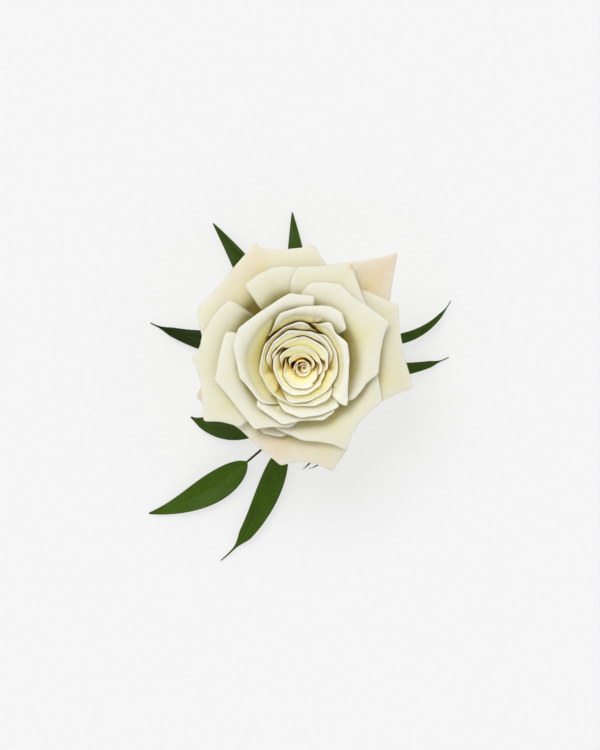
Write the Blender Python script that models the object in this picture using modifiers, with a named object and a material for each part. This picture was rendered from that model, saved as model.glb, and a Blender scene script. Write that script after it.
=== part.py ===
"""Boutonniere: a cream-white rose with ruscus leaves, lying on its back with the bloom facing up.

Lengths are in millimetres and become metres where a mesh is made. +Z is up, +Y runs from the cut
stem ends towards the top of the bloom, and the origin is on the surface that the flower lies on.
"""

import math

import bmesh
import bpy
from mathutils import Vector

MM = 0.001
GAP = 0.3

# The rose axis leans towards the cut ends: it is at AXIS_Y at hip height, and moves LEAN per mm of height.
AXIS_Y = 11.5
LEAN = -0.14

# The hip is a dome that the petals grow from, above a short neck.
HIP_HEIGHT = 17.0
HIP_RADIUS = 7.0
HIP_RISE = 6.6
NECK_RADIUS = 2.4
NECK_HEIGHT = 9.4

# Petals sit on the dome in layers, from FIRST_LAYER degrees off its top, LAYER_STEP degrees apart.
FIRST_LAYER = 12.0
LAYER_STEP = 4.4
LAST_LAYER = 21
CLAW = 0.3
PETAL_THICKNESS = 0.42
MIN_LIP = 0.5

# Crest height against crest radius: CROWN at the axis, OUTER_DROP lower at OUTER_CREST, sunk in the middle.
CROWN = 52.0
OUTER_DROP = 18.0
OUTER_CREST = 28.0
CENTRE_SINK = 13.0
CENTRE_WIDTH = 8.0

# The stems, bound side by side by the tape.
STEM_RADIUS = 2.2
STEM_HEIGHT = 3.1
STEM_END_Y = -22.0
SPRIG_RADIUS = 0.7
SPRIG_OFFSET = 3.3
TAPE_LENGTH = 14.0
TAPE_MIDDLE_Y = -5.5
TAPE_HALF_WIDTH = 4.9
TAPE_THICKNESS = 0.35

SEPAL_COUNT = 5
SEPAL_LENGTH = 22.0
SEPAL_WIDTH = 6.5
SEPAL_THICKNESS = 0.5
LEAF_THICKNESS = 0.4
REST_HEIGHT = 0.22

# Each petal: its layer on the hip, its crest radius at the clockwise end, the middle and the other end,
# and the corners (x, y) of its margin in plan, anticlockwise.
PETALS = {
    "centre_petal_1": (0, (1.6, 1.6, 1.6), ((2.6, 6.4), (2.6, 8.4), (0.8, 9.6), (-1.0, 8.6), (-1.6, 7.0))),
    "centre_petal_2": (1.2, (2.8, 2.8, 2.8), ((-2.8, 7.6), (-3.0, 5.2), (-1.2, 3.6), (1.4, 3.2), (3.4, 4.6))),
    "centre_petal_3": (2.4, (4.6, 4.0, 4.0), ((5.2, 5.2), (5.6, 7.6), (4.2, 9.8), (1.8, 11.2), (-1.6, 11.0),
                                            (-4.0, 9.8), (-5.0, 7.4))),
    "centre_petal_4": (3.6, (5.3, 6.4, 6.8), ((-6.2, 7.0), (-5.6, 3.2), (-3.0, -0.2), (1.8, -1.0), (5.2, 0.4),
                                            (7.2, 3.4))),
    "centre_petal_5": (4.8, (7.8, 6.4, 6.8), ((7.6, 3.8), (8.0, 7.0), (6.2, 11.0), (0.6, 13.4), (-5.6, 12.4),
                                            (-8.0, 9.2))),
    "centre_petal_6": (6, (8.0, 8.6, 9.2), ((-9.6, 10.0), (-9.8, 7.0), (-8.2, 2.6), (-5.8, -1.2), (-2.4, -3.2),
                                            (2.6, -2.8), (7.4, 0.6), (9.4, 4.0))),
    "centre_petal_7": (7.2, (9.4, 9.6, 9.4), ((9.8, 5.6), (9.8, 12.0), (7.4, 14.6), (1.6, 17.6), (-2.8, 16.2),
                                            (-8.0, 13.2), (-10.2, 10.6))),
    "centre_petal_8": (8.4, (10.8, 11.2, 11.4), ((11.4, 11.4), (8.8, 16.4), (5.2, 18.8), (-4.2, 19.6), (-9.8, 15.0),
                                            (-12.0, 10.0))),
    "centre_petal_9": (9.4, (11.8, 12.2, 12.6), ((-3.0, -6.0), (2.8, -5.4), (9.8, -1.2), (13.0, 3.4), (13.4, 7.0),
                                               (12.8, 11.6), (9.6, 17.4))),
    "centre_petal_10": (10.8, (13.4, 13.0, 13.4), ((0.0, 22.6), (-6.0, 20.4), (-12.6, 14.4), (-13.8, 9.2),
                                                (-14.2, 4.8), (-9.8, -2.2), (-3.2, -6.8), (5.2, -7.0))),
    "ring_petal_1": (11.8, (15.2, 15.0, 16.4), ((14.4, -7.0), (16.6, -6.4), (17.4, 8.8), (16.8, 15.2),
                                              (12.4, 18.6), (10.6, 23.2), (5.4, 25.0))),
    "ring_petal_2": (13.2, (18.4, 17.8, 16.0), ((16.4, 19.8), (14.4, 26.0), (10.4, 28.2), (0.6, 28.0),
                                              (-7.0, 25.6), (-9.6, 22.4), (-13.0, 18.6))),
    "ring_petal_3": (12.6, (14.8, 15.2, 17.2), ((-11.0, -5.0), (-5.4, -9.0), (0.4, -11.0), (7.4, -9.8),
                                              (14.4, -6.8))),
    "ring_petal_4": (14.2, (19.8, 19.0, 16.6), ((6.0, 31.4), (-3.6, 32.6), (-14.0, 26.2), (-21.6, 20.6),
                                              (-23.4, 14.2), (-21.2, 3.0), (-15.2, -4.2), (-7.0, -9.6))),
    "ring_petal_5": (15.4, (18.2, 17.6, 18.4), ((-15.4, -7.4), (-11.2, -10.0), (-6.0, -13.4), (0.6, -12.0),
                                              (8.0, -11.6), (13.4, -8.0))),
    "middle_petal_1": (16.4, (19.6, 21.0, 22.0), ((13.0, -8.4), (16.6, -7.0), (20.4, -3.0), (23.4, 1.0),
                                                (27.6, 4.6), (28.2, 12.2), (29.0, 16.8), (31.4, 22.6),
                                                (25.0, 27.0), (18.5, 31.4), (14.0, 36.0), (4.0, 36.5),
                                                (-3.6, 36.5))),
    "middle_petal_2": (17.2, (20.8, 20.8, 19.2), ((-25.0, 20.4), (-27.0, 17.0), (-28.4, 11.0), (-29.2, 6.4),
                                                (-30.0, 2.4), (-21.0, -9.0), (-16.0, -15.0), (-11.0, -14.4),
                                                (0.6, -14.4), (3.6, -14.0))),
    "middle_petal_3": (17.4, (23.0, 23.4, 23.4), ((27.0, 22.5), (24.0, 27.4), (21.5, 32.6), (19.6, 38.0),
                                                (18.4, 43.2), (6.4, 42.2), (-0.6, 42.0), (-3.6, 36.0))),
    "middle_petal_4": (18.4, (24.6, 24.2, 22.8), ((0.0, 37.5), (-1.4, 42.0), (-5.4, 42.2), (-10.0, 41.6),
                                                (-14.0, 39.8), (-20.0, 35.2))),
    "outer_petal_1": (18.6, (22.0, 22.8, 23.4), ((-13.4, -13.0), (-9.4, -14.4), (-5.4, -16.4), (0.6, -18.8),
                                               (6.4, -19.4), (12.2, -20.6), (16.4, -22.4), (18.6, -16.4),
                                               (21.0, -12.4), (24.0, -9.4), (28.8, -5.4), (27.2, 4.4),
                                               (26.6, 8.6))),
    "outer_petal_2": (18.6, (24.8, 24.4, 22.8), ((-23.6, 31.4), (-27.4, 28.0), (-31.0, 23.4), (-34.2, 18.0),
                                               (-35.0, 14.0), (-38.0, 9.6), (-34.8, 1.6), (-34.2, -5.4),
                                               (-34.0, -12.0), (-28.0, -12.4), (-23.6, -13.4), (-20.0, -14.6))),
    "outer_petal_3": (19.6, (25.2, 25.4, 25.4), ((26.0, -7.6), (28.8, -5.4), (35.6, -2.2), (39.6, -0.6),
                                               (37.0, 9.2), (35.6, 16.8), (34.6, 24.0), (34.6, 28.8),
                                               (31.6, 29.6), (26.4, 32.2), (21.0, 34.2), (18.0, 36.0))),
    "outer_petal_4": (19.8, (26.4, 26.6, 26.6), ((11.0, 39.0), (9.6, 42.6), (6.4, 47.4), (5.0, 49.8),
                                               (0.0, 48.6), (-7.0, 48.0), (-14.0, 48.6), (-15.6, 51.0),
                                               (-22.5, 42.6), (-29.2, 34.6), (-36.0, 27.0), (-36.0, 24.0),
                                               (-34.6, 18.6), (-33.6, 14.6))),
    "outer_petal_5": (19.4, (24.6, 24.2, 24.2), ((-20.0, -13.8), (-16.4, -15.2), (-12.4, -16.6), (-7.6, -17.8),
                                               (-3.0, -18.2), (1.0, -17.6))),
    "outer_petal_6": (20.8, (27.8, 27.8, 27.8), ((30.6, 26.0), (31.6, 29.6), (33.0, 37.4), (34.6, 47.6),
                                               (32.0, 46.2), (21.0, 44.0), (9.6, 42.6), (3.6, 41.6))),
    "outer_petal_7": (21.2, (26.0, 26.0, 25.4), ((-25.2, -11.0), (-23.4, -13.4), (-21.0, -15.0), (-14.0, -22.0),
                                               (-6.8, -28.0), (-0.6, -26.4), (5.2, -27.4), (11.6, -29.8),
                                               (16.4, -22.4), (18.0, -18.6))),
    "outer_petal_8": (20.8, (27.4, 27.4, 27.4), ((-31.6, 4.0), (-34.6, 0.0), (-36.6, -3.6), (-34.0, -6.0),
                                               (-31.0, -9.6))),
}

# Each leaf: its width, its fold in degrees, its roll in degrees, and its midrib as (x, y, z) points
# from the petiole to the tip.
LEAVES = {
    "leaf_1": (8.0, 24, 20, ((-10.4, 25.6, 2.2), (-15.0, 34.0, 4.6), (-22.0, 46.0, 3.6), (-31.4, 58.8, 0.6))),
    "leaf_2": (8.6, 16, 0, ((-5.6, 28.6, 2.2), (0.6, 34.0, 4.6), (-1.8, 50.0, 3.6), (-2.8, 62.8, 0.6))),
    "leaf_3": (9.8, 16, 0, ((-11.6, 14.8, 2.4), (-22.0, 14.6, 4.8), (-38.0, 15.0, 3.2), (-54.0, 22.8, 0.6))),
    "leaf_4": (4.8, 20, 30, ((24.4, 16.4, 2.2), (36.0, 14.6, 4.6), (47.6, 18.4, 4.2), (54.4, 30.8, 1.6))),
    "leaf_5": (6.0, 14, 0, ((10.6, 6.2, 2.4), (24.0, 4.4, 4.8), (44.0, 5.4, 3.2), (53.8, 10.4, 0.6))),
    "leaf_6": (12.6, 12, 0, ((-6.6, 1.4, 2.8), (-14.0, -12.0, 4.6), (-24.0, -24.0, 4.2), (-39.4, -11.2, 0.8))),
    "leaf_7": (11.8, 10, 0, ((-4.6, -15.4, 3.0), (-19.0, -26.0, 4.6), (-32.0, -42.0, 3.6), (-54.6, -46.0, 0.6))),
    "leaf_8": (9.4, 12, 0, ((-4.8, -18.6, 2.6), (-8.6, -31.0, 4.0), (-14.6, -52.0, 3.4), (-28.6, -63.0, 0.6))),
    "leaf_9": (3.6, 12, 0, ((5.0, -14.2, 3.0), (16.0, -17.0, 5.2), (11.4, -27.6, 5.0), (3.2, -29.8, 3.4))),
    "leaf_10": (3.6, 12, 0, ((4.8, -18.0, 2.8), (9.0, -19.6, 2.4), (6.0, -26.6, 1.6), (0.8, -30.2, 0.6))),
}

PETIOLES = {"leaf_7": 0.34, "leaf_8": 0.08}

COLOURS = {
    "petal": (0.90, 0.86, 0.70, 1.0),
    "guard_petal": (0.86, 0.79, 0.66, 1.0),
    "hip": (0.16, 0.26, 0.06, 1.0),
    "stem": (0.13, 0.22, 0.05, 1.0),
    "leaf": (0.03, 0.08, 0.01, 1.0),
    "tape": (0.10, 0.19, 0.06, 1.0),
}


def clear_scene():
    for block in (bpy.data.objects, bpy.data.meshes, bpy.data.curves, bpy.data.materials):
        for item in list(block):
            block.remove(item)


def material(name, colour, roughness):
    made = bpy.data.materials.new(name)
    made.use_nodes = True
    shader = made.node_tree.nodes["Principled BSDF"]
    shader.inputs["Base Color"].default_value = COLOURS[colour]
    shader.inputs["Roughness"].default_value = roughness
    shader.inputs["Metallic"].default_value = 0.0
    return made


def axis_y(height):
    return AXIS_Y + LEAN * (height - HIP_HEIGHT)


def smooth(t):
    t = min(max(t, 0.0), 1.0)
    return t * t * (3.0 - 2.0 * t)


def crest_height(crest):
    return CROWN - OUTER_DROP * (crest / OUTER_CREST) ** 3 - CENTRE_SINK * math.exp(-crest / CENTRE_WIDTH)


def crest_slope(crest):
    return 1.6 + 8.0 / (crest + 1.0)


def lip_height(crest, reach):
    """How far a lip stands above its crest at a reach beyond it, in plan."""
    size = crest / OUTER_CREST
    rise = 2.2 + 2.4 * size * size
    droop = 0.1
    width = rise / (crest_slope(crest) + droop)
    return rise * (1.0 - math.exp(-reach / width)) - droop * reach - 0.006 * reach * reach


def bowl_point(layer, crest, t):
    """(radius, height) on a sheet, from the hip at t = 0 to its crest at t = 1."""
    polar = math.radians(FIRST_LAYER + LAYER_STEP * layer)
    clear = GAP + PETAL_THICKNESS
    base = Vector((
        (HIP_RADIUS + clear) * math.sin(polar),
        HIP_HEIGHT + (HIP_RISE + clear) * math.cos(polar),
    ))
    top = Vector((crest, crest_height(crest)))
    reach = (top - base).length
    out = math.radians(82.0 - 84.0 * layer / LAST_LAYER)
    start = base + Vector((math.cos(out), math.sin(out))) * reach * 0.36
    slope = crest_slope(crest)
    end = top - Vector((1.0, slope)).normalized() * reach * (0.15 + 0.25 * crest / OUTER_CREST)
    s = 1.0 - t
    return base * s ** 3 + start * 3 * s * s * t + end * 3 * s * t * t + top * t ** 3


def across(values, t):
    """A value that runs smoothly from the first to the third, through the second at the middle."""
    first, middle, last = values
    if t < 0.5:
        return first + (middle - first) * smooth(2.0 * t)
    return middle + (last - middle) * smooth(2.0 * t - 1.0)


class Petal:
    """A part of one sheet round the rose axis, out to its margin."""

    def __init__(self, layer, crests, margin):
        self.layer = layer
        self.crests = crests
        height = crest_height(crests[1])
        angles = [math.atan2(y - axis_y(height), x) for x, y in margin]
        self.first = angles[0]
        turn = 0.0
        for before, after in zip(angles, angles[1:]):
            turn += (after - before) % math.tau
        self.span = turn

    def crest_at(self, angle):
        return across(self.crests, (angle - self.first) / self.span)

    def rim(self, x, y):
        """(angle, crest radius, rim radius) where the margin passes (x, y) in plan."""
        height = crest_height(self.crests[1])
        for _ in range(8):
            down = y - axis_y(height)
            radius = math.hypot(x, down)
            angle = self.first + (math.atan2(down, x) - self.first + 0.5) % math.tau - 0.5
            crest = min(self.crest_at(angle), radius - MIN_LIP)
            height = crest_height(crest) + lip_height(crest, radius - crest)
        return angle, crest, radius

    def point(self, rim, t, lip):
        """A point above the rim's foot: t runs from hip to crest, then lip from crest to margin."""
        angle, crest, radius = rim
        spread = CLAW + (1.0 - CLAW) * smooth(t / 0.55)
        middle = self.first + self.span / 2
        angle = middle + (angle - middle) * spread
        crest = min(self.crest_at(angle), crest) if t == 1.0 else self.crest_at(angle)
        if lip > 0.0:
            reach = (radius - crest) * lip
            across_plan, height = crest + reach, crest_height(crest) + lip_height(crest, reach)
        else:
            across_plan, height = bowl_point(self.layer, crest, t)
        x = across_plan * math.cos(angle)
        y = across_plan * math.sin(angle) + axis_y(height)
        return Vector((x, y, height)) * MM


def between(corners, most):
    """The corners, with points added so that no step is over the given length."""
    points = []
    for start, end in zip(corners, corners[1:]):
        step = Vector(end) - Vector(start)
        parts = max(1, math.ceil(step.length / most - 0.25))
        points.extend(Vector(start) + step * k / parts for k in range(parts))
    points.append(Vector(corners[-1]))
    return points


def grid_object(name, points, look, thickness):
    """A sheet through rows of points, made solid."""
    rows, columns = len(points), len(points[0])
    bm = bmesh.new()
    bmesh.ops.create_grid(bm, x_segments=columns - 1, y_segments=rows - 1, size=1.0)
    bm.verts.ensure_lookup_table()
    for index, vert in enumerate(bm.verts):
        vert.co = points[index // columns][index % columns]
    mesh = bpy.data.meshes.new(name)
    bm.to_mesh(mesh)
    bm.free()
    mesh.shade_smooth()
    made = bpy.data.objects.new(name, mesh)
    made.data.materials.append(look)
    solid = made.modifiers.new("Thickness", "SOLIDIFY")
    solid.thickness = thickness * MM
    solid.offset = 0.0
    return made


def build_petal(name, look):
    layer, crests, margin = PETALS[name]
    petal = Petal(layer, crests, margin)
    step = 3.0 + 0.14 * crests[1]
    rims = [petal.rim(x, y) for x, y in between(margin, step)]
    lips = (0.5, 1.0) if crests[1] > 14.5 else (1.0,)
    stations = [(t, 0.0) for t in (0.0, 0.25, 0.5, 0.75, 1.0)] + [(1.0, lip) for lip in lips]
    points = [[petal.point(rim, t, lip) for rim in rims] for t, lip in stations]
    return grid_object(name, points, look, PETAL_THICKNESS)


def bezier(points, t):
    points = [Vector(point) for point in points]
    while len(points) > 1:
        points = [a.lerp(b, t) for a, b in zip(points, points[1:])]
    return points[0]


def blade_half_width(t, petiole):
    """Half the width of a blade, as a share of its widest, from its base to its fine tip."""
    if t < petiole:
        return 0.1
    s = (t - petiole) / (1.0 - petiole)
    return max(0.1 * (1.0 - s), (math.sin(math.pi * s ** 0.72)) ** 0.9 * (1.0 - 0.25 * s)) + 0.035


def build_blade(name, look, width, fold, roll, midrib, thickness, petiole=0.0, rows=10):
    across_steps = (-1.0, -0.5, 0.0, 0.5, 1.0)
    points = []
    for row in range(rows + 1):
        t = row / rows
        centre = bezier(midrib, t)
        ahead = bezier(midrib, min(t + 0.02, 1.0)) - bezier(midrib, max(t - 0.02, 0.0))
        side = Vector((ahead.y, -ahead.x, 0.0)).normalized()
        up = side.cross(ahead).normalized()
        half = blade_half_width(t, petiole) * width / 2
        line = []
        for s in across_steps:
            tilt = math.radians(roll) + math.radians(fold) * (1.0 if s > 0 else -1.0)
            offset = side * (s * half * math.cos(tilt)) + up * (s * half * math.sin(tilt))
            point = centre + offset
            point.z = max(point.z, REST_HEIGHT)
            line.append(point * MM)
        points.append(line)
    return grid_object(name, points, look, thickness)


def build_hip(look):
    """The dome and neck, as rings of one closed turned shape that leans with the axis."""
    profile = [(NECK_RADIUS, NECK_HEIGHT), (NECK_RADIUS + 1.4, NECK_HEIGHT + 2.0),
               (HIP_RADIUS - 0.8, HIP_HEIGHT - 3.4), (HIP_RADIUS, HIP_HEIGHT)]
    for degrees in (22, 44, 66, 82):
        polar = math.radians(degrees)
        profile.append((HIP_RADIUS * math.cos(polar), HIP_HEIGHT + HIP_RISE * math.sin(polar)))
    bm = bmesh.new()
    verts = [bm.verts.new((radius * MM, 0.0, height * MM)) for radius, height in profile]
    edges = [bm.edges.new(pair) for pair in zip(verts, verts[1:])]
    bmesh.ops.spin(bm, geom=verts + edges, axis=(0, 0, 1), cent=(0, 0, 0), steps=20, angle=math.tau,
                   use_merge=True)
    bmesh.ops.remove_doubles(bm, verts=bm.verts, dist=0.00001)
    bmesh.ops.holes_fill(bm, edges=[edge for edge in bm.edges if edge.is_boundary], sides=0)
    bmesh.ops.recalc_face_normals(bm, faces=bm.faces)
    for vert in bm.verts:
        vert.co.y += axis_y(vert.co.z / MM) * MM
    mesh = bpy.data.meshes.new("hip")
    bm.to_mesh(mesh)
    bm.free()
    mesh.shade_smooth()
    made = bpy.data.objects.new("hip", mesh)
    made.data.materials.append(look)
    return made


def build_sepal(name, look, angle):
    """One sepal, which leaves the hip under the petals and curls down."""
    def along(t):
        radius = HIP_RADIUS + 0.7 + SEPAL_LENGTH * 0.8 * t
        return radius, 13.4 + 1.6 * t - 8.0 * t * t

    points = []
    for row in range(7):
        t = row / 6
        radius, height = along(t)
        half = SEPAL_WIDTH / 2 * (1.0 - t) ** 0.7 * (0.7 + 0.9 * t) + 0.2
        line = []
        for s in (-1.0, 0.0, 1.0):
            x = radius * math.cos(angle) - s * half * math.sin(angle)
            y = radius * math.sin(angle) + s * half * math.cos(angle)
            z = height - 0.5 * abs(s) * half / SEPAL_WIDTH
            line.append(Vector((x, y + axis_y(z), z)) * MM)
        points.append(line)
    return grid_object(name, points, look, SEPAL_THICKNESS)


def build_stem(name, look, radius, route):
    """A round stem along a route of (x, y, z) points."""
    curve = bpy.data.curves.new(name, "CURVE")
    curve.dimensions = "3D"
    curve.bevel_depth = radius * MM
    curve.bevel_resolution = 2
    curve.use_fill_caps = True
    curve.resolution_u = 4
    spline = curve.splines.new("NURBS")
    spline.points.add(len(route) - 1)
    for point, place in zip(spline.points, route):
        point.co = (*(Vector(place) * MM), 1.0)
    spline.order_u = 3
    spline.use_endpoint_u = True
    made = bpy.data.objects.new(name, curve)
    made.data.materials.append(look)
    return made


def build_tape(look):
    """A flattened sleeve round the three stems, resting on the surface."""
    bm = bmesh.new()
    bmesh.ops.create_cone(bm, cap_ends=False, segments=24, radius1=1.0, radius2=1.0, depth=TAPE_LENGTH * MM)
    wide = (TAPE_HALF_WIDTH - TAPE_THICKNESS / 2) * MM
    high = (STEM_HEIGHT - TAPE_THICKNESS / 2) * MM
    for vert in bm.verts:
        x, y, z = vert.co
        vert.co = (x * wide, -z + TAPE_MIDDLE_Y * MM, y * high + STEM_HEIGHT * MM)
    bmesh.ops.recalc_face_normals(bm, faces=bm.faces)
    mesh = bpy.data.meshes.new("floral_tape")
    bm.to_mesh(mesh)
    bm.free()
    mesh.shade_smooth()
    made = bpy.data.objects.new("floral_tape", mesh)
    made.data.materials.append(look)
    solid = made.modifiers.new("Thickness", "SOLIDIFY")
    solid.thickness = TAPE_THICKNESS * MM
    solid.offset = 0.0
    return made


def build():
    clear_scene()
    parts = bpy.data.collections.new("boutonniere")
    bpy.context.scene.collection.children.link(parts)
    root = bpy.data.objects.new("boutonniere", None)
    parts.objects.link(root)
    made = []
    for name in PETALS:
        guard = name in ("outer_petal_6", "outer_petal_7", "outer_petal_8")
        made.append(build_petal(name, material(name, "guard_petal" if guard else "petal", 0.6)))
    made.append(build_hip(material("hip", "hip", 0.5)))
    for number in range(SEPAL_COUNT):
        name = f"sepal_{number + 1}"
        angle = math.tau * (number + 0.5) / SEPAL_COUNT
        made.append(build_sepal(name, material(name, "hip", 0.55), angle))
    rose_route = (
        (0.0, axis_y(NECK_HEIGHT), NECK_HEIGHT - GAP),
        (0.0, axis_y(NECK_HEIGHT), 6.4),
        (0.0, axis_y(NECK_HEIGHT) - 1.6, STEM_HEIGHT),
        (0.0, 5.0, STEM_HEIGHT),
        (0.0, STEM_END_Y, STEM_HEIGHT),
    )
    made.append(build_stem("rose_stem", material("rose_stem", "stem", 0.5), STEM_RADIUS, rose_route))
    left_route = (
        (-SPRIG_OFFSET, STEM_END_Y + 1.5, STEM_HEIGHT),
        (-SPRIG_OFFSET, -2.0, STEM_HEIGHT),
        (-SPRIG_OFFSET, 5.0, STEM_HEIGHT),
        (-9.8, 16.0, 2.2),
        (-8.2, 28.0, 1.6),
    )
    right_route = (
        (SPRIG_OFFSET, STEM_END_Y + 2.5, STEM_HEIGHT),
        (SPRIG_OFFSET, -2.0, STEM_HEIGHT),
        (SPRIG_OFFSET, 5.0, STEM_HEIGHT),
        (10.0, 12.0, 2.2),
        (23.0, 16.8, 1.6),
    )
    for name, route in (("sprig_stem_left", left_route), ("sprig_stem_right", right_route)):
        made.append(build_stem(name, material(name, "stem", 0.5), SPRIG_RADIUS, route))
    made.append(build_tape(material("floral_tape", "tape", 0.7)))
    for name, (width, fold, roll, midrib) in LEAVES.items():
        petiole = PETIOLES.get(name, 0.0)
        made.append(build_blade(name, material(name, "leaf", 0.35), width, fold, roll, midrib,
                                LEAF_THICKNESS, petiole))
    for item in made:
        parts.objects.link(item)
        item.parent = root


build()
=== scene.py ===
import math

import bpy
import numpy as np
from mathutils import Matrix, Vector, noise


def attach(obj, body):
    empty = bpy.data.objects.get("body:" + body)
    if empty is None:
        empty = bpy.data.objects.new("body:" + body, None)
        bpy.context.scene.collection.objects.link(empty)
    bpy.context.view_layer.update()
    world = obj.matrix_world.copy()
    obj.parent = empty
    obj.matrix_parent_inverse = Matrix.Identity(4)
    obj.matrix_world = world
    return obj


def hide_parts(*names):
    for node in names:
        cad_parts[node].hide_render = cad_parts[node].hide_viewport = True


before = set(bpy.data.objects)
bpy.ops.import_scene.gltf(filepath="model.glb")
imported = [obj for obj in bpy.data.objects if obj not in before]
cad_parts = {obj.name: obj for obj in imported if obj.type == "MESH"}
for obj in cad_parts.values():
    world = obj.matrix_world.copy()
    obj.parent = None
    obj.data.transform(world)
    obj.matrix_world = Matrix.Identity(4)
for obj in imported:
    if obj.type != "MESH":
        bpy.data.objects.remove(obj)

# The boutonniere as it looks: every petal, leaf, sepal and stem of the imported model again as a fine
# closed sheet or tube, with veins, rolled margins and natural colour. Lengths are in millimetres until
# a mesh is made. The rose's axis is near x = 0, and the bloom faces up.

MM = 0.001
# Without a seed of its own, the noise would differ from run to run.
WAVE_SEED = 3
GAP = 0.3

AXIS_Y = 11.5
LEAN = -0.14
HIP_HEIGHT = 17.0
HIP_RADIUS = 7.0
HIP_RISE = 6.6
NECK_RADIUS = 2.4
NECK_HEIGHT = 9.4

# Petals sit on the hip in layers, this many degrees from the axis, the outermost LAST_LAYER.
FIRST_LAYER = 12.0
LAYER_STEP = 4.4
LAST_LAYER = 21
PETAL_THICKNESS = 0.42
SCROLL_THICKNESS = 0.30
EDGE_TAPER = 0.45
# A claw, the foot of a petal, spans this share of the petal's whole angle.
CLAW = 0.3
HEART_CLAW = 0.85
# Petals with a middle crest under SMALL are the centre; under CLOSED they press on those inside them.
SMALL = 14.0
CLOSED = 19.5
# A tucked end stops this share of the wall lower. One over LONG_TUCK mm long eases in evenly.
TUCK = 0.16
DEEP_TUCK = 0.30
LONG_TUCK = 3.0
# Small petals run on by TAIL radians at both ends, behind their neighbours.
TAIL = 0.5
END_REACH = 0.04
MIN_LIP = 0.5
LIP_TRIM = 0.45
LIP_ROOM = 0.4
THINNEST_LIP = 0.02
FAR = 99.0
CORNER_DEGREES = 20.0
# The bend of a wall round the margins inside it: its place up the wall, and its distance from them.
KNEE = 0.76
SHELF_GAP = 0.5
SCROLL_FLARE = 0.35
SCROLL_FOOT = 0.8
# Over how many mm the colour of each kind of petal changes, down from its crest or its margin: it turns
# yellower, and on the pale petals darker, partly their own colour and partly painted shade.
WALL_FADE = 3.0
RING_FADE = 4.5
MARGIN_FADE = 6.0
# Rows of a petal: shares of the way up its wall, then shares of the way out along its lip.
WALL_ROWS = [k / 16 for k in range(12)] + [0.72, 0.76, 0.80, 0.84, 0.88, 0.92, 0.96, 0.985, 1.0]
LIP_ROWS = [0.06, 0.14, 0.24, 0.36, 0.5, 0.62, 0.74, 0.83, 0.9, 0.95, 0.985, 1.0]
SMALL_LIP_ROWS = [0.12, 0.3, 0.5, 0.7, 0.87, 1.0]

CROWN = 52.0
OUTER_DROP = 18.0
OUTER_CREST = 28.0
CENTRE_SINK = 13.0
CENTRE_WIDTH = 8.0

STEM_RADIUS = 2.2
STEM_HEIGHT = 3.1
STEM_END_Y = -22.0
SPRIG_RADIUS = 0.7
SPRIG_OFFSET = 3.3
TAPE_LENGTH = 14.0
TAPE_MIDDLE_Y = -5.5
TAPE_HALF_WIDTH = 4.9
TAPE_THICKNESS = 0.35
TAPE_INNER = 0.17
TAPE_TURNS = 4.0
TAPE_LAP = 0.22

SEPAL_COUNT = 5
SEPAL_LENGTH = 22.0
SEPAL_WIDTH = 6.5
SEPAL_THICKNESS = 0.5
LEAF_THICKNESS = 0.4
REST_HEIGHT = 0.22

# The view: straight down, from VIEW_DISTANCE above the lips, onto a piece of floor VIEW_HEIGHT high.
VIEW_DISTANCE = 1.4
VIEW_HEIGHT = 0.2625
VIEW_MIDDLE = (0.0, 0.004, 0.046)
SENSOR = 36.0
# The one soft light: where it comes from, and how many degrees of the sky it fills.
KEY_PLACE = (-0.30, 0.50, 1.0)
KEY_SPREAD = 30.0

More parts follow.
